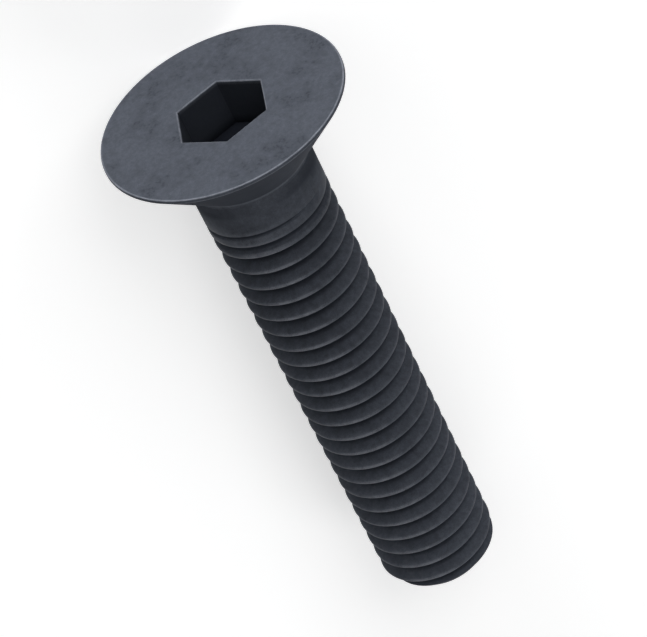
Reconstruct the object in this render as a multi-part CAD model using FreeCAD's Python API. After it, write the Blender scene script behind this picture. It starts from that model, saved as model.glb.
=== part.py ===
import FreeCAD, Part
import math
import os

from FreeCAD import Rotation, Vector

# A countersunk machine screw with a hexagon socket, in millimetres.
# It is turned up on its axis with the face of the head at z = 0 and the tip below,
# and is laid on its side at the end, as it comes to rest on a table.

# Head
HEAD_R = 5.87
HEAD_EDGE = 0.07
HEAD_LAND = 0.10
CONE_HALF_ANGLE = 45.0

# Neck and whole length
NECK_CLEAR = 0.01
NECK_END = 5.1
LENGTH = 29.6
TIP_CHAMFER = 0.88

# Thread, right hand
PITCH = 1.0
CREST_R = 2.95
THREAD_DEPTH = 0.67
RUNOUT = 1.6
CREST_ABOVE_TIP = 0.54

# Hexagon socket, a corner at angle zero
SOCKET_FLATS = 4.03
SOCKET_DEPTH = 2.5
SOCKET_EDGE = 0.05
NOSE_R = 0.9
NOSE_ANGLE = 120.0

# Side of the screw that faces the table, round its axis
DOWN_ANGLE = 129.0

# What follows from these sizes
NECK_R = CREST_R + NECK_CLEAR
ROOT_R = CREST_R - THREAD_DEPTH
CONE_TOP = HEAD_EDGE + HEAD_LAND
CONE_END = CONE_TOP + (HEAD_R - NECK_R) / math.tan(math.radians(CONE_HALF_ANGLE))
TIP_R = CREST_R - TIP_CHAMFER
CREST_Z = -LENGTH + CREST_ABOVE_TIP


def turned(points):
    """Solid turned about Z from an outline of (radius, height) points that starts and ends on the axis."""
    outline = Part.makePolygon([Vector(r, 0, z) for r, z in points + points[:1]])
    return Part.Face(outline).revolve(Vector(0, 0, 0), Vector(0, 0, 1), 360)


def helix(radius, z):
    """One turn of the thread's helix, from angle zero at the height z."""
    edge = Part.makeHelix(PITCH, PITCH, radius).Edges[0]
    edge.translate(Vector(0, 0, z))
    return edge


def groove(z):
    """Section of one groove as (radius, height), from the crest at the height z to the next one."""
    return [(CREST_R, z), (ROOT_R, z + PITCH / 2), (CREST_R, z + PITCH)]


def end_cap(z):
    """Faces that close the threaded bar below or above a turn that starts at the height z."""
    axis = Part.makeLine(Vector(0, 0, z), Vector(0, 0, z + PITCH))
    corners = [Vector(0, 0, z)] + [Vector(r, 0, h) for r, h in groove(z)] + [Vector(0, 0, z + PITCH)]
    step = Part.Face(Part.makePolygon(corners + corners[:1]))
    return [Part.makeRuledSurface(helix(CREST_R, z), axis), step]


def threaded_bar(low, high):
    """Bar with the helical thread all along it, longer than low to high by at least a turn at each end."""
    below = math.ceil((CREST_Z - low) / PITCH) + 1
    turns = math.ceil((high - low) / PITCH) + 3
    start = CREST_Z - below * PITCH
    edges = [helix(radius, z) for radius, z in groove(start)]
    flanks = [Part.makeRuledSurface(one, other) for one, other in zip(edges, edges[1:])]
    faces = end_cap(start) + end_cap(start + turns * PITCH)
    for k in range(turns):
        for flank in flanks:
            face = flank.copy()
            face.translate(Vector(0, 0, k * PITCH))
            faces.append(face)
    shell = Part.makeShell(faces)
    shell.sewShape()
    bar = Part.makeSolid(shell)
    return bar if bar.Volume > 0 else bar.reversed()


def threaded_shank():
    """The thread cut to length, with the chamfered tip."""
    top = -(CONE_END + NECK_END) / 2
    wide = CREST_R + PITCH
    chamfer_end = -LENGTH + wide - TIP_R
    room = turned([(0, -LENGTH), (TIP_R, -LENGTH), (wide, chamfer_end), (wide, top), (0, top)])
    return threaded_bar(-LENGTH, top).common(room)


def head_and_neck():
    """Head, neck and the cone on which the thread runs out."""
    head = [(0, 0), (HEAD_R - HEAD_EDGE, 0), (HEAD_R, -HEAD_EDGE), (HEAD_R, -CONE_TOP), (NECK_R, -CONE_END)]
    shank = [(NECK_R, -NECK_END), (ROOT_R, -NECK_END - RUNOUT), (0, -NECK_END - RUNOUT)]
    return turned(head + shank)


def hexagon(flats, z):
    """Closed outline of a hexagon across its flats, a corner at angle zero."""
    corner_r = flats / 2 / math.cos(math.radians(30))
    corners = [Vector(corner_r, 0, z)]
    for k in range(1, 6):
        turn = math.radians(60 * k)
        corners.append(Vector(corner_r * math.cos(turn), corner_r * math.sin(turn), z))
    return Part.makePolygon(corners + corners[:1])


def socket():
    """What the socket takes out: the hexagon, its bevelled mouth and the blunt nose of the punch."""
    hole = Part.Face(hexagon(SOCKET_FLATS, -SOCKET_DEPTH)).extrude(Vector(0, 0, SOCKET_DEPTH))
    mouth = [hexagon(SOCKET_FLATS, -SOCKET_EDGE), hexagon(SOCKET_FLATS + 4 * SOCKET_EDGE, SOCKET_EDGE)]
    bevel = Part.makeLoft(mouth, True, True)
    nose_top = SOCKET_FLATS / 2
    nose_end = -SOCKET_DEPTH - (nose_top - NOSE_R) / math.tan(math.radians(NOSE_ANGLE / 2))
    nose = turned([(0, nose_end), (NOSE_R, nose_end), (nose_top, -SOCKET_DEPTH), (0, -SOCKET_DEPTH)])
    return hole.fuse([bevel, nose])


def laid_down(screw):
    """The screw on its side, on the rim of its head and its last full crest, the tip towards +X."""
    below_crest = (DOWN_ANGLE / 360 * PITCH + CREST_Z + LENGTH - TIP_CHAMFER) % PITCH
    rest_z = -LENGTH + TIP_CHAMFER + below_crest
    tilt = math.atan2(HEAD_R - CREST_R, -CONE_TOP - rest_z)
    centre = Vector(0, 0, 0)
    screw.rotate(centre, Vector(0, 0, 1), 180 - DOWN_ANGLE)
    screw.rotate(centre, Vector(0, 1, 0), -90)
    screw.rotate(centre, Vector(0, 1, 0), math.degrees(tilt))
    rim = Rotation(Vector(0, 1, 0), math.degrees(tilt)).multVec(Vector(CONE_TOP, 0, -HEAD_R))
    ends = screw.optimalBoundingBox(False, False)
    screw.translate(Vector(-(ends.XMin + ends.XMax) / 2, 0, -rim.z))
    return screw


def screw():
    """The whole screw as one solid, lying at rest."""
    body = head_and_neck().fuse(threaded_shank())
    return laid_down(body.cut(socket()).Solids[0])


os.makedirs("parts", exist_ok=True)
screw().exportStep("parts/screw.step")
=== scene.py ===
import bpy
import math
from mathutils import Euler, Matrix, Vector


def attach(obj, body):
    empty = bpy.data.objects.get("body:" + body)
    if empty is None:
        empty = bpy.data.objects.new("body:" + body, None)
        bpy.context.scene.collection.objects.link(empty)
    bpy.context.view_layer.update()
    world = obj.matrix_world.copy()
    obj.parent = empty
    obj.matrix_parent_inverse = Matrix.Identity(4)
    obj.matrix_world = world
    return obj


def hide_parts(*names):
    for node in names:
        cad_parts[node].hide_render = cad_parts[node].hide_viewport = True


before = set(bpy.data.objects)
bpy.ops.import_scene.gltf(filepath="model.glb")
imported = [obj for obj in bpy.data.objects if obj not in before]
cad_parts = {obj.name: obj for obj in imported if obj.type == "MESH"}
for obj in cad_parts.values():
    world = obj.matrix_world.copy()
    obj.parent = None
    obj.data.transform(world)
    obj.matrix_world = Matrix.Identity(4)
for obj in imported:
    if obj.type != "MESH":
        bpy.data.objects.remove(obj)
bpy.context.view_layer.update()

# A countersunk machine screw with a hexagon socket. Its skin is made upright on its axis, in
# millimetres, with the face of the head at z = 0, and is then laid down where the solid lies.

# Head and neck, as in the solid, with a fillet between them; the cone's first row is in from the rim
HEAD_R = 5.87
HEAD_EDGE = 0.07
HEAD_LAND = 0.10
LAND_EDGE = 0.03
NECK_R = 2.96
NECK_FILLET = 0.28
CONE_INSET = 0.05
LENGTH = 29.6

# Thread, right hand: its crests are flat and narrow, its roots round. The chamfer of the tip cuts it, and
# the turns past the cut lie flat on the end face, which a ring a little further in closes
PITCH = 1.0
CREST_R = 2.95
CREST_FLAT = PITCH / 8
ROOT_ROUND = 0.1443
CREST_ROUND = 0.06
FLANK = math.tan(math.radians(60))
CREST_ABOVE_TIP = 0.54
TIP_CHAMFER = 0.88
TIP_EDGE = 0.09
END_INSET = 0.15

# Run-out of the thread: the share of the whole depth that a groove has at the heights of a thread
# that would run on, the height from which the turns are drawn closer, how close and narrow they get,
# and the least half width of a groove
RUNOUT_DEPTHS = ((-6.75, 1.0), (-5.78, 0.42), (-4.90, 0.21), (-4.68, 0.14), (-4.56, 0.0))
RUNOUT_START = -6.3
RUNOUT_PITCH = 0.785
RUNOUT_NARROW = 0.6
GROOVE_LEAST = 0.02

# Share of the whole depth from which a groove has its whole width, and that from which its crest is
# rubbed and painted with a highlight as on the rest, and the depth in millimetres from which its root is
# painted dark as shade
FULL_WIDTH = 0.4
FULL_WEAR_AND_HIGHLIGHT = 0.6
DARK_DEPTH = 0.08

# Hexagon socket, a corner at angle zero, and the punch's nose at its bottom, clear of the walls
SOCKET_FLATS = 4.03
SOCKET_DEPTH = 2.5
SOCKET_EDGE = 0.05
NOSE_R = 0.9
NOSE_MIDDLE_R = 0.3
NOSE_ANGLE = 120.0
NOSE_CLEAR = 0.02

# How it lies: the side that faces the floor, its tilt, and the middle of its face
DOWN_ANGLE = 129.0
TILT = 5.8434
FACE_X = -14.533
FACE_Z = 5.857

# Fineness of the skin: columns of points to a turn, turns below and above the crest at the tip, and all
# the columns of the thread
COLUMNS = 120
TURNS_BELOW = 2
TURNS_ABOVE = 24
STRIP = (TURNS_BELOW + TURNS_ABOVE) * COLUMNS

# Where the chamfer cuts the thread: how often the search halves its range, the least distance that
# counts as cut off, and the wear with painted highlight of the edge there
HALVINGS = 24
CUT_LEAST = 0.001
CUT_WEAR_AND_HIGHLIGHT = 0.5

# Angle in degrees from which an edge of the skin is shaded sharp
SHARP_ANGLE = 31.0

# Painted shade is 0 in the open, 1 in the root of a thread and 2 where hardly any light comes
NOSE_PAINTED_SHADE = 2.0
WALL_PAINTED_SHADE = 1.25

# What follows from these sizes
MM = 0.001
CONE_TOP = HEAD_EDGE + HEAD_LAND
CONE_END = CONE_TOP + HEAD_R - NECK_R
CREST_Z = -LENGTH + CREST_ABOVE_TIP
TIP_R = CREST_R - TIP_CHAMFER
FLANK_TOP = (PITCH - CREST_FLAT) / 2
ROOT_EDGE = ROOT_ROUND * math.cos(math.radians(30))
DEPTH = FLANK_TOP * FLANK - ROOT_ROUND

# The skin's points, what each of them carries, and its faces
points = []
wear_and_highlight = []
painted_shade = []
flow = []
faces = []


def add_point(radius, angle, z, worn_and_lit=0.0, shade_share=0.0, along=0.0):
    """Adds a point and returns its number; along is how far down the outline it is."""
    points.append((radius * math.cos(angle), radius * math.sin(angle), z))
    wear_and_highlight.append(worn_and_lit)
    painted_shade.append(shade_share)
    flow.append((math.cos(angle), math.sin(angle), along))
    return len(points) - 1


def column_angle(k):
    """Angle of a column of points, counted from that of the hexagon's corner."""
    return 2 * math.pi * k / COLUMNS


def at_angle(value, angle):
    """A value that is a number or a function of the angle."""
    return value(angle) if callable(value) else value


def ring(radius, z, worn_and_lit=0.0, shade_share=0.0, along=0.0):
    """A closed ring of points; its radius, its wear with painted highlight and its painted shade may be
    functions of the angle.
    """
    numbers = []
    for k in range(COLUMNS):
        angle = column_angle(k)
        r, rubbed_and_lit, hidden = [at_angle(value, angle) for value in (radius, worn_and_lit, shade_share)]
        numbers.append(add_point(r, angle, z, rubbed_and_lit, hidden, along))
    return numbers


def band(one, other):
    """Faces between two rings, the second one further along the outline from the socket to the tip."""
    for k in range(COLUMNS):
        n = (k + 1) % COLUMNS
        faces.append((one[k], other[k], other[n], one[n]))


def hexagon_radius(flats):
    """Radius of a hexagon at an angle."""
    def radius(angle):
        turned = angle % math.radians(60)
        return flats / 2 / math.cos(turned - math.radians(30))
    return radius


def mixed(inner, outer, share):
    """Radius between two outlines at an angle."""
    def radius(angle):
        return inner(angle) * (1 - share) + outer * share
    return radius


def skin_socket():
    """The hexagon socket from its nose to its mouth, painted dark as shade inside. Returns its last ring.
    """
    wall = hexagon_radius(SOCKET_FLATS)
    mouth = hexagon_radius(SOCKET_FLATS + 2 * SOCKET_EDGE)
    nose_top = SOCKET_FLATS / 2 - NOSE_CLEAR
    nose_end = -SOCKET_DEPTH - (nose_top - NOSE_R) / math.tan(math.radians(NOSE_ANGLE / 2))
    # The nose is painted nearly black as shade, and the walls are painted dark as shade
    rows = [ring(r, nose_end, 0, NOSE_PAINTED_SHADE) for r in (NOSE_MIDDLE_R, NOSE_R)]
    faces.append(tuple(reversed(rows[0])))
    for share in (0.33, 0.67, 1.0):
        r = NOSE_R + (nose_top - NOSE_R) * share
        rows.append(ring(r, nose_end + (-SOCKET_DEPTH - nose_end) * share, 0, NOSE_PAINTED_SHADE))
    rows.append(ring(wall, -SOCKET_DEPTH, 0, NOSE_PAINTED_SHADE))
    for share in (0.8, 0.6, 0.4, 0.2, 0.08):
        z = -SOCKET_EDGE - (SOCKET_DEPTH - SOCKET_EDGE) * share
        rows.append(ring(wall, z, 0, WALL_PAINTED_SHADE))
    # The mouth's edge is rubbed and painted light as a highlight; its lowest row is also painted with
    # some shade
    rows.append(ring(wall, -SOCKET_EDGE, 0.3, 0.9))
    rows.append(ring(hexagon_radius(SOCKET_FLATS + SOCKET_EDGE), -0.35 * SOCKET_EDGE, 0.75, 0))
    rows.append(ring(mouth, 0, 0.45, 0))
    for one, other in zip(rows, rows[1:]):
        band(one, other)
    return rows[-1]


def skin_face(first):
    """The flat face of the head, from the socket's mouth to its rounded edge."""
    mouth = hexagon_radius(SOCKET_FLATS + 2 * SOCKET_EDGE)
    edge = HEAD_R - HEAD_EDGE
    last = first
    for share in (0.01, 0.05, 0.2, 0.35, 0.5, 0.65, 0.8, 0.93, 0.99, 1.0):
        # The face's outer row is rubbed and painted light as a highlight
        worn_and_lit = 0.5 if share == 1.0 else 0
        row = ring(mixed(mouth, edge, share), 0, worn_and_lit)
        band(last, row)
        last = row
    return last


def arc(centre, radius, start, end, steps):
    """Points (radius, height) on an arc of the outline, its angles in degrees from outward."""
    found = []
    for k in range(steps + 1):
        turn = math.radians(start + (end - start) * k / steps)
        found.append((centre[0] + radius * math.cos(turn), centre[1] + radius * math.sin(turn)))
    return found


def across(left, middle, right):
    """Value from the left of the lying screw over its top to its right, seen from the head."""
    def value(angle):
        share = math.cos(angle - math.radians(DOWN_ANGLE + 90))
        return middle + (left - middle) * max(share, 0) + (right - middle) * max(-share, 0)
    return value


def skin_head(first):
    """The edge, land and cone of the head and the fillet and top of the neck.

    Returns the last ring and the place along the outline that the height zero would have on the shank.
    """
    rounding = arc((HEAD_R - HEAD_EDGE, -HEAD_EDGE), HEAD_EDGE, 90, 0, 5)[1:]
    # The head's rounded edge is rubbed and painted light as a highlight
    outline = list(zip(rounding, (1.0, 1.0, 0.5, 0.0, 0.0), (0.0, 0.0, 0.2, 0.4, 0.5)))
    tangent = LAND_EDGE * math.tan(math.radians(22.5))
    # The land and its lower edge are rubbed and painted light as a highlight
    outline.append(((HEAD_R, -CONE_TOP + tangent), 0.3, 0.3))
    rounding = arc((HEAD_R - LAND_EDGE, -CONE_TOP + tangent), LAND_EDGE, 0, -45, 3)[1:]
    outline += list(zip(rounding, (1.0, 1.0, 0.4), (0.0, 0.0, 0.4)))
    tangent = NECK_FILLET * math.tan(math.radians(22.5))
    cone_start = HEAD_R - CONE_INSET
    cone_end = NECK_R + tangent * math.sqrt(0.5)
    # The cone is painted dark as shade, most on its left, less over its top and not on its right
    for share in (0.01, 0.2, 0.4, 0.6, 0.8, 0.99):
        r = cone_start + (cone_end - cone_start) * share
        outline.append(((r, -CONE_TOP - (HEAD_R - r)), 0.0, across(1.1, 0.95, 0.6)))
    centre = (NECK_R + NECK_FILLET, -CONE_END - tangent)
    rounding = arc(centre, NECK_FILLET, 135, 180, 6)
    # The fillet is painted light as a highlight, none on its left and evenly over its top and right
    worn_and_lit = [across(0, share / 2, share / 2) for share in (0, 0.2, 0.45, 0.7, 0.6, 0.35, 0.1)]
    outline += list(zip(rounding, worn_and_lit, (0.8, 0.5, 0.3, 0.1, 0.1, 0.2, 0.3)))
    # The top of the neck is painted dark as shade on its left and right sides, most on its right
    for drop in (0.2, 0.45, 0.75):
        outline.append(((NECK_R, -CONE_END - drop), 0.08, across(0.95, 0.62, 1.1)))
    last = first
    along = 0.0
    before = (HEAD_R - HEAD_EDGE, 0)
    for (r, z), worn_and_lit, shade_share in outline:
        along += math.hypot(r - before[0], z - before[1])
        before = (r, z)
        row = ring(r, z, worn_and_lit, shade_share, along)
        band(last, row)
        last = row
    return last, along + before[1]


def full_groove(x):
    """Depth of the whole groove at a distance x from its middle, below zero past the crest's edge."""
    if x < ROOT_EDGE:
        return DEPTH - ROOT_ROUND + math.sqrt(ROOT_ROUND ** 2 - x ** 2)
    return (FLANK_TOP - x) * FLANK


def groove_width(lift):
    """Half the width at the surface of a groove that is lifted by lift, as in the run-out."""
    flank_end = DEPTH - ROOT_ROUND / 2
    if lift < flank_end:
        return FLANK_TOP - lift / FLANK
    rise = min(lift - DEPTH + ROOT_ROUND, ROOT_ROUND)
    return math.sqrt(max(ROOT_ROUND ** 2 - rise ** 2, GROOVE_LEAST ** 2))


def groove_rows(lift):
    """Rows of half a groove as (distance from its middle, drop, wear with painted highlight), from the
    root to the crest.
    """
    width = groove_width(lift)
    root = min(ROOT_EDGE, 0.5 * width)
    corner = min(CREST_ROUND / FLANK, 0.15 * width)
    places = [0, 0.4 * root, 0.75 * root, root]
    places += [root + (width - corner - root) * share for share in (0.35, 0.65, 0.85, 1.0)]
    places += [width, width + corner, PITCH / 2]
    # Wear of the crest and its rounded edges, partly painted light as a highlight
    worn_and_lit = [0, 0, 0, 0, 0, 0.02, 0.07, 0.25, 0.95, 1.0, 0.9]
    found = []
    soft = corner * FLANK
    for x, w in zip(places, worn_and_lit):
        y = full_groove(x) - lift
        if abs(y) < soft:
            drop = (y + soft) ** 2 / (4 * soft)
        else:
            drop = max(y, 0.0)
        found.append((x, drop, w))
    return found


def groove_share(z):
    """Share of the whole depth that a groove has at the height z of its middle."""
    if z <= RUNOUT_DEPTHS[0][0]:
        return 1.0
    for (low, deep), (high, shallow) in zip(RUNOUT_DEPTHS, RUNOUT_DEPTHS[1:]):
        if z < high:
            return deep + (shallow - deep) * (z - low) / (high - low)
    return 0.0


def drawn_closer(z):
    """Height of a place on the thread once the turns of its run-out are drawn closer."""
    return z if z < RUNOUT_START else RUNOUT_START + (z - RUNOUT_START) * RUNOUT_PITCH


def tip_outline(height):
    """(radius, z) of the chamfer, its edge and the end face; height counts up from that edge."""
    if height > TIP_EDGE:
        return TIP_R + height, -LENGTH + height
    if height < -TIP_EDGE:
        return TIP_R + height, -LENGTH
    t = (TIP_EDGE - height) / (2 * TIP_EDGE)
    return TIP_R + TIP_EDGE * ((1 - t) ** 2 - t ** 2), -LENGTH + TIP_EDGE * (1 - t) ** 2


def on_shank(radius, z):
    """Where a point of the thread ends up once the tip is cut, and how far it stood off the cut."""
    height = z + LENGTH
    cut_r, cut_z = tip_outline(height)
    if height > TIP_EDGE and radius < cut_r:
        return radius, z, radius - cut_r
    return cut_r, cut_z, max(radius - cut_r, CUT_LEAST)


def thread_column(k, start):
    """One column of the thread, from the crest below a groove to the crest above it.

    Each point is (radius, z, wear with painted highlight, depth as a share of the groove's, which sets
    the painted shade in the root, place along the outline).
    """
    crest = CREST_Z + PITCH * (k / COLUMNS - TURNS_BELOW)
    share = groove_share(crest + PITCH / 2)
    rows = groove_rows(DEPTH * (1 - share))
    both = [(-x, drop, worn_and_lit) for x, drop, worn_and_lit in reversed(rows)] + rows[1:]
    middle = drawn_closer(crest + PITCH / 2)
    narrow = RUNOUT_NARROW + (1 - RUNOUT_NARROW) * min(share / FULL_WIDTH, 1.0)
    top = NECK_R + (CREST_R - NECK_R) * share
    rubbed_and_lit = min(share / FULL_WEAR_AND_HIGHLIGHT, 1.0)
    deepest = max(DEPTH * share, DARK_DEPTH)
    column = []
    for x, drop, worn_and_lit in both:
        column.append((top - drop, middle + x * narrow, worn_and_lit * rubbed_and_lit, drop / deepest))
    above = min(groove_share(crest + 1.5 * PITCH) / FULL_WEAR_AND_HIGHLIGHT, 1.0)
    for place, z, worn_and_lit in ((0, crest, rubbed_and_lit), (-1, crest + PITCH, above)):
        column[place] = (top, drawn_closer(z), worn_and_lit, 0.0)
    return [(radius, z, worn_and_lit, deep, start - z) for radius, z, worn_and_lit, deep in column]


def cut_place(a, b):
    """The place where the line between two uncut places of the thread meets the cut of the tip."""
    low, high = 0.0, 1.0
    sign = on_shank(a[0], a[2])[2] > 0
    for _ in range(HALVINGS):
        t = (low + high) / 2
        mid = [p + (q - p) * t for p, q in zip(a, b)]
        if (on_shank(mid[0], mid[2])[2] > 0) == sign:
            low = t
        else:
            high = t
    return [p + (q - p) * low for p, q in zip(a, b)]


def beside(one, other):
    """The second of two uncut places, its angle counted on from the first one's."""
    radius, angle, z, along = other
    turns = round((angle - one[1]) / (2 * math.pi))
    return radius, angle - 2 * math.pi * turns, z, along


def strip_points(start):
    """Points of the thread, which is one long strip wound up the shank.

    Returns their numbers by column and row, their places before the cut as (radius, angle, z, place
    along the outline), how far they stood off the cut, and the last row, shared with the next turn.
    """
    numbers = {}
    uncut = {}
    off = {}
    for k in range(STRIP + 1):
        column = thread_column(k, start)
        last = len(column) - 1
        angle = column_angle(k)
        for j, (radius, z, worn_and_lit, depth, along) in enumerate(column):
            if j == last and k + COLUMNS <= STRIP:
                continue
            r, height, stood = on_shank(radius, z)
            if stood > 0:
                worn_and_lit = depth = 0.0
            number = add_point(r, angle, height, worn_and_lit, depth, along)
            numbers[(k, j)] = number
            uncut[number] = (radius, angle, z, along)
            off[number] = stood
    for k in range(STRIP - COLUMNS + 1):
        numbers[(k, last)] = numbers[(k + COLUMNS, 0)]
    return numbers, uncut, off, last


def strip_faces(numbers, uncut, off, last):
    """Faces of the strip; each one that the cut goes through is split along it."""
    cuts = {}

    def cut_between(m, n):
        """Number of the point at the cut between two points of the strip."""
        key = (min(m, n), max(m, n))
        if key not in cuts:
            one, other = uncut[key[0]], uncut[key[1]]
            _, angle, z, along = cut_place(one, beside(one, other))
            r, height = tip_outline(z + LENGTH)
            cuts[key] = add_point(r, angle, height, CUT_WEAR_AND_HIGHLIGHT, 0, along)
        return cuts[key]

    for k in range(STRIP):
        for j in range(last):
            corners = ((k, j), (k + 1, j), (k + 1, j + 1), (k, j + 1))
            quad = [numbers[corner] for corner in corners]
            kept = {True: [], False: []}
            for one, other in zip(quad, quad[1:] + quad[:1]):
                side = off[one] > 0
                kept[side].append(one)
                if side != (off[other] > 0):
                    between = cut_between(one, other)
                    kept[True].append(between)
                    kept[False].append(between)
            for side in (True, False):
                if len(kept[side]) > 2:
                    faces.append(tuple(kept[side]))


def join_neck(neck, numbers, last):
    """Faces between the neck's last ring and the top of the strip, whose step is in the first face."""
    top = [numbers[(STRIP - COLUMNS + k, last)] for k in range(COLUMNS + 1)]
    for k in range(COLUMNS):
        wedge = [top[k], top[k + 1], neck[(k + 1) % COLUMNS], neck[k]]
        if k == 0:
            wedge += [numbers[(STRIP, j)] for j in range(last, 0, -1)]
        faces.append(tuple(wedge))


def close_tip(start, numbers, last):
    """The end face and those up to the bottom of the strip, whose step is in the last one of them."""
    r, z = tip_outline(thread_column(0, start)[0][1] - END_INSET + LENGTH)
    end = ring(r, z)
    bottom = [numbers[(k, 0)] for k in range(COLUMNS + 1)]
    for k in range(COLUMNS):
        wedge = [end[k], end[(k + 1) % COLUMNS], bottom[k + 1], bottom[k]]
        if k == COLUMNS - 1:
            wedge[2:3] = [numbers[(0, j)] for j in range(last + 1)]
        faces.append(tuple(wedge))
    faces.append(tuple(reversed(end)))


def skin_shank(neck, start):
    """The threaded shank with its chamfered tip."""
    numbers, uncut, off, last = strip_points(start)
    strip_faces(numbers, uncut, off, last)
    join_neck(neck, numbers, last)
    close_tip(start, numbers, last)


def laid_down():
    """Turns and moves the upright skin, in millimetres, to where the solid lies, in metres."""
    turn = Matrix.Rotation(math.radians(180 - DOWN_ANGLE), 4, "Z")
    turn = Matrix.Rotation(math.radians(-90), 4, "Y") @ turn
    turn = Matrix.Rotation(math.radians(TILT), 4, "Y") @ turn
    move = Matrix.Translation(Vector((FACE_X, 0, FACE_Z)) * MM)
    return move @ turn @ Matrix.Scale(MM, 4)


def make_screw():
    """The screw's skin as one closed mesh."""
    mouth = skin_socket()
    edge = skin_face(mouth)
    neck, start = skin_head(edge)
    skin_shank(neck, start)
    mesh = bpy.data.meshes.new("screw_skin")
    mesh.from_pydata(points, [], faces)
    mesh.transform(laid_down())
    # The points carry their wear with painted highlight and their painted shade to the material
    for name, kind, values in (("wear_and_highlight", "FLOAT", wear_and_highlight), ("painted_shade", "FLOAT", painted_shade)):
        layer = mesh.attributes.new(name, kind, "POINT")
        layer.data.foreach_set("value", values)
    layer = mesh.attributes.new("flow", "FLOAT_VECTOR", "POINT")
    layer.data.foreach_set("vector", [v for place in flow for v in place])
    mesh.validate()
    mesh.shade_smooth()
    mesh.set_sharp_from_angle(angle=math.radians(SHARP_ANGLE))
    piece = bpy.data.objects.new("screw_body", mesh)
    bpy.context.scene.collection.objects.link(piece)
    return piece


def new_material(name):
    """A new material with its node tree and its shader."""
    material = bpy.data.materials.new(name)
    material.use_nodes = True
    tree = material.node_tree
    return material, tree, tree.nodes["Principled BSDF"]


def linked(tree, kind, inputs=None, **settings):
    """A new node with its settings; inputs gives each socket a value or another node's output."""
    node = tree.nodes.new(kind)
    for key, value in settings.items():
        setattr(node, key, value)
    for key, value in (inputs or {}).items():
        if isinstance(value, bpy.types.NodeSocket):
            tree.links.new(value, node.inputs[key])
        else:
            node.inputs[key].default_value = value
    return node


def noise(tree, place, scale, detail):
    """Noise of so many marks to the unit of place."""
    inputs = {"Vector": place, "Scale": scale, "Detail": detail, "Roughness": NOISE_ROUGH}
    return linked(tree, "ShaderNodeTexNoise", inputs).outputs["Fac"]


def mapped(tree, place, **changes):
    """A place moved by Location or stretched by Scale."""
    return linked(tree, "ShaderNodeMapping", {"Vector": place, **changes}).outputs["Vector"]


def carried(tree, name, output):
    """What the skin's points carry under a name."""
    return linked(tree, "ShaderNodeAttribute", attribute_name=name).outputs[output]


def ranged(tree, value, low, high, to_low=0.0, to_high=1.0):
    """A value's range from low to high carried over to another range, and held there."""
    inputs = {"Value": value, "From Min": low, "From Max": high, "To Min": to_low, "To Max": to_high}
    return linked(tree, "ShaderNodeMapRange", inputs).outputs["Result"]


def maths(tree, operation, one, other):
    """Two values joined by an operation."""
    return linked(tree, "ShaderNodeMath", {0: one, 1: other}, operation=operation).outputs[0]


def blended(tree, share, one, other):
    """Two values mixed, the second one by share."""
    first = maths(tree, "MULTIPLY", one, 1.0 - share)
    return maths(tree, "ADD", first, maths(tree, "MULTIPLY", other, share))


def tinted(tree, share, one, other):
    """Two colours mixed, the second one by share."""
    node = tree.nodes.new("ShaderNodeMix")
    node.data_type = "RGBA"
    for key, value in ((0, share), (6, one), (7, other)):
        if isinstance(value, bpy.types.NodeSocket):
            tree.links.new(value, node.inputs[key])
        elif key == 0:
            node.inputs[key].default_value = value
        else:
            node.inputs[key].default_value = (*value, 1.0)
    return node.outputs[2]


# Colours of the blackened steel, with its painted shade and painted highlight, and the marks in it as so
# many to the millimetre
OXIDE_DARK = (0.054, 0.060, 0.074)
OXIDE_PALE = (0.070, 0.078, 0.096)
OXIDE_SPECK = (0.012, 0.014, 0.019)
# Painted shade, for the roots of the thread, the sides of the neck and cone and the socket's walls
ROOT_PAINTED_SHADE = (0.027, 0.031, 0.041)
# Nearly black painted shade, at the socket's nose and in part on its walls
HOLLOW_PAINTED_SHADE = (0.005, 0.006, 0.009)
# Pale colour of rubbed edges, partly a painted highlight
WORN_AND_HIGHLIGHT = (0.200, 0.212, 0.246)
OXIDE_GLOSS = (0.80, 0.87, 1.0)
CLOUD_SCALE = 0.55
CLOUD_SHIFT = (7, 3, 1)
MOTTLE_SCALE = 2.6
FLECK_SCALE = 6.0
GRAIN_SCALE = 22.0
LINE_SCALES = (2.2, 2.2, 16.0)
NOISE_ROUGH = 0.6
FLECK_DEPTH = 0.45
GRAIN_DEPTH = 0.2
GLOSS_IOR = 1.22
BUMP_HEIGHT = 6e-6

# Painted light: how much paler the shank is made towards the tip, and the places along the outline
# between which it does
TIP_PALER = 1.36
PALER_ALONG = (8.0, 34.0)

# Painted highlight: direction across the axis of the side of the shank whose crests are painted lightest,
# how far this reaches round from it, the share of it on the other sides, and where along the outline the
# shank starts
HIGHLIGHT_SIDE = (math.cos(math.radians(-73)), math.sin(math.radians(-73)), 0)
HIGHLIGHT_REACH = (0.86, 0.99)
HIGHLIGHT_LEAST = 0.15
SHANK_ALONG = (4.6, 5.0)


def clustered_pits(tree, clouds, mottle, flecks, deep):
    """Dark specks in clusters, fewer of them in the roots."""
    cluster = ranged(tree, blended(tree, 0.25, clouds, mottle), 0.50, 0.40)
    pits = maths(tree, "MULTIPLY", ranged(tree, flecks, 0.42, 0.66), cluster)
    return maths(tree, "MULTIPLY", pits, ranged(tree, deep, 0.0, 0.5, 1.0, 0.3))


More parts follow.
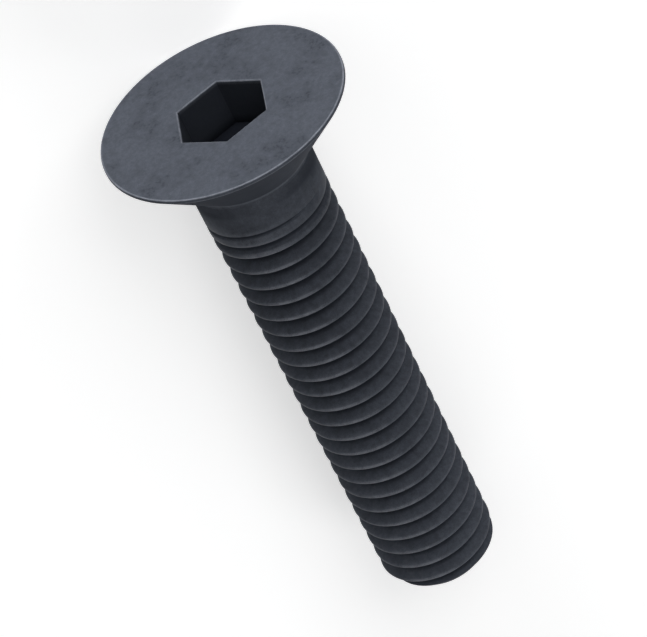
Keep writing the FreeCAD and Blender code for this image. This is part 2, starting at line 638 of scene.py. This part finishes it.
def oxide_colour(tree, clouds, mottle, fine, pits, down, deep):
    """Colour of the oxide where it isn't rubbed: mottled, made paler to the tip by painted light and
    darker in the roots, the socket and the sides of the neck and cone by painted shade.
    """
    tone = blended(tree, 0.65, clouds, mottle)
    colour = tinted(tree, ranged(tree, tone, 0.36, 0.62), OXIDE_DARK, OXIDE_PALE)
    colour = tinted(tree, maths(tree, "MULTIPLY", pits, FLECK_DEPTH), colour, OXIDE_SPECK)
    shade = ranged(tree, fine, 0.32, 0.68, 1.0 - GRAIN_DEPTH, 1.0 + GRAIN_DEPTH)
    # Painted light: the shank is made paler towards the tip
    shade = maths(tree, "MULTIPLY", shade, ranged(tree, down, *PALER_ALONG, 1.0, TIP_PALER))
    scaled = linked(tree, "ShaderNodeVectorMath", {0: colour, "Scale": shade}, operation="SCALE")
    colour = scaled.outputs["Vector"]
    # Painted shade: the roots, the socket and the sides of the neck and cone are darkened
    colour = tinted(tree, ranged(tree, deep, 0.65, 1.0, 0.0, 0.8), colour, ROOT_PAINTED_SHADE)
    # Painted shade: nearly black in the socket
    return tinted(tree, ranged(tree, deep, 1.0, 2.0), colour, HOLLOW_PAINTED_SHADE)


def rubbed_and_lit_share(tree, worn_and_lit, way, down, uneven):
    """How far the oxide is rubbed off and painted light as a highlight: unevenly, and on the shank mostly
    on one side.
    """
    facing = linked(tree, "ShaderNodeVectorMath", {0: way, 1: HIGHLIGHT_SIDE}, operation="DOT_PRODUCT")
    side = ranged(tree, facing.outputs["Value"], *HIGHLIGHT_REACH, HIGHLIGHT_LEAST, 1.0)
    side = maths(tree, "MAXIMUM", side, ranged(tree, down, *SHANK_ALONG, 1.0, 0.0))
    rubbed_and_lit = maths(tree, "MULTIPLY", worn_and_lit, ranged(tree, uneven, 0.8, 1.15, 0.45, 1.0))
    return maths(tree, "MULTIPLY", rubbed_and_lit, side)


def blackened_steel():
    """Black oxide on steel: mottled, with clusters of dark flecks, painted shade in the roots and
    hollows, painted light towards the tip, and rubbed edges with painted highlights.
    """
    material, tree, shader = new_material("black_oxide_steel")
    where = linked(tree, "ShaderNodeTexCoord").outputs["Object"]
    place = mapped(tree, where, Scale=(1 / MM, 1 / MM, 1 / MM))
    worn_and_lit = carried(tree, "wear_and_highlight", "Fac")
    deep = carried(tree, "painted_shade", "Fac")
    way = carried(tree, "flow", "Vector")
    down = linked(tree, "ShaderNodeSeparateXYZ", {"Vector": way}).outputs["Z"]

    clouds = noise(tree, mapped(tree, place, Location=CLOUD_SHIFT), CLOUD_SCALE, 3.0)
    mottle = noise(tree, place, MOTTLE_SCALE, 4.0)
    flecks = noise(tree, place, FLECK_SCALE, 2.5)
    grain = noise(tree, place, GRAIN_SCALE, 2.0)
    lines = noise(tree, mapped(tree, way, Scale=LINE_SCALES), 1.0, 4.0)
    fine = blended(tree, 0.5, flecks, grain)
    uneven = maths(tree, "ADD", mottle, grain)
    pits = clustered_pits(tree, clouds, mottle, flecks, deep)

    colour = oxide_colour(tree, clouds, mottle, fine, pits, down, deep)
    # Rubbed edges and crests, partly painted light as a highlight
    colour = tinted(tree, rubbed_and_lit_share(tree, worn_and_lit, way, down, uneven), colour, WORN_AND_HIGHLIGHT)
    tree.links.new(colour, shader.inputs["Base Color"])

    rough = ranged(tree, uneven, 0.75, 1.25, 0.56, 0.68)
    rough = maths(tree, "ADD", rough, maths(tree, "MULTIPLY", pits, 0.15))
    rough = maths(tree, "SUBTRACT", rough, maths(tree, "MULTIPLY", worn_and_lit, 0.12))
    rough = maths(tree, "ADD", rough, ranged(tree, deep, 0.0, 1.0, 0.0, 0.35))
    tree.links.new(rough, shader.inputs["Roughness"])
    shader.inputs["Metallic"].default_value = 0.0
    shader.inputs["IOR"].default_value = GLOSS_IOR
    shader.inputs["Specular Tint"].default_value = (*OXIDE_GLOSS, 1.0)

    height = blended(tree, 0.5, grain, lines)
    height = maths(tree, "SUBTRACT", height, maths(tree, "MULTIPLY", pits, 0.4))
    bump = linked(tree, "ShaderNodeBump", {"Height": height, "Strength": 0.5, "Distance": BUMP_HEIGHT})
    tree.links.new(bump.outputs["Normal"], shader.inputs["Normal"])
    return material


# The floor, and the light that it shows of its own
FLOOR_SIDE = 4.0
FLOOR_COLOUR = (0.86, 0.86, 0.86, 1)
FLOOR_LIFT = 0.52


def pale_floor():
    """White floor that keeps the screw's shadow."""
    material, tree, shader = new_material("floor_white")
    shader.inputs["Base Color"].default_value = FLOOR_COLOUR
    shader.inputs["Roughness"].default_value = 0.9
    shader.inputs["Specular IOR Level"].default_value = 0.1
    light = linked(tree, "ShaderNodeLightPath")
    seen = maths(tree, "MAXIMUM", light.outputs["Is Camera Ray"], light.outputs["Is Glossy Ray"])
    seen = maths(tree, "MAXIMUM", seen, light.outputs["Is Transmission Ray"])
    tree.links.new(maths(tree, "MULTIPLY", seen, FLOOR_LIFT), shader.inputs["Emission Strength"])
    shader.inputs["Emission Color"].default_value = (1, 1, 1, 1)
    return material


# Each square lamp's name, place, side and power; all of them face the screw
LAMPS = (
    ("lamp_face", (-0.900, 0.000, 0.090), 0.16, 5.95),
    ("lamp_over", (-0.516, 0.000, 0.737), 0.70, 1.4),
    ("lamp_right", (-0.600, 0.420, 0.516), 0.70, 2.3),
    ("lamp_left", (-0.450, -0.590, 0.516), 0.70, 0.42),
    ("lamp_tip", (0.720, 0.300, 0.450), 0.70, 2.9),
    ("lamp_side", (0.750, -0.550, 0.220), 0.70, 1.7),
)
WORLD_COLOUR = (0.96, 0.98, 1.0)
WORLD_LEVEL = 0.05

# The camera's place in metres and turn in degrees, and its focal length in the picture's pixels
CAMERA_PLACE = (-0.09481, 0.000777, 0.154228)
CAMERA_TURN = (-29.2423, -13.4333, 66.9307)
PICTURE_WIDTH = 647
FOCAL_PIXELS = 3770.3
SENSOR = 36.0
CLIP = (0.01, 20.0)


def make_floor():
    """The plain floor."""
    mesh = bpy.data.meshes.new("floor")
    half = FLOOR_SIDE / 2
    corners = [(-half, -half, 0), (half, -half, 0), (half, half, 0), (-half, half, 0)]
    mesh.from_pydata(corners, [], [(0, 1, 2, 3)])
    floor = bpy.data.objects.new("floor", mesh)
    bpy.context.scene.collection.objects.link(floor)
    mesh.materials.append(pale_floor())


def make_lights():
    """The soft lamps and the faint light all round."""
    for name, place, side, power in LAMPS:
        data = bpy.data.lights.new(name, "AREA")
        data.shape = "SQUARE"
        data.size = side
        data.energy = power
        lamp = bpy.data.objects.new(name, data)
        lamp.location = place
        lamp.rotation_euler = Vector(place).to_track_quat("Z", "Y").to_euler()
        bpy.context.scene.collection.objects.link(lamp)
    world = bpy.data.worlds.new("studio")
    bpy.context.scene.world = world
    world.use_nodes = True
    background = world.node_tree.nodes["Background"]
    background.inputs["Color"].default_value = (*WORLD_COLOUR, 1)
    background.inputs["Strength"].default_value = WORLD_LEVEL


def make_camera():
    """The camera, which looks down at the screw over its head."""
    data = bpy.data.cameras.new("camera")
    data.sensor_width = SENSOR
    data.sensor_fit = "HORIZONTAL"
    data.lens = FOCAL_PIXELS * SENSOR / PICTURE_WIDTH
    data.clip_start, data.clip_end = CLIP
    camera = bpy.data.objects.new("camera", data)
    camera.location = CAMERA_PLACE
    camera.rotation_euler = Euler([math.radians(v) for v in CAMERA_TURN], "XYZ")
    bpy.context.scene.collection.objects.link(camera)
    bpy.context.scene.camera = camera


screw = make_screw()
screw.data.materials.append(blackened_steel())
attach(screw, "root")
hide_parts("screw")

make_floor()
make_lights()
make_camera()
bpy.context.scene.view_settings.view_transform = "Standard"
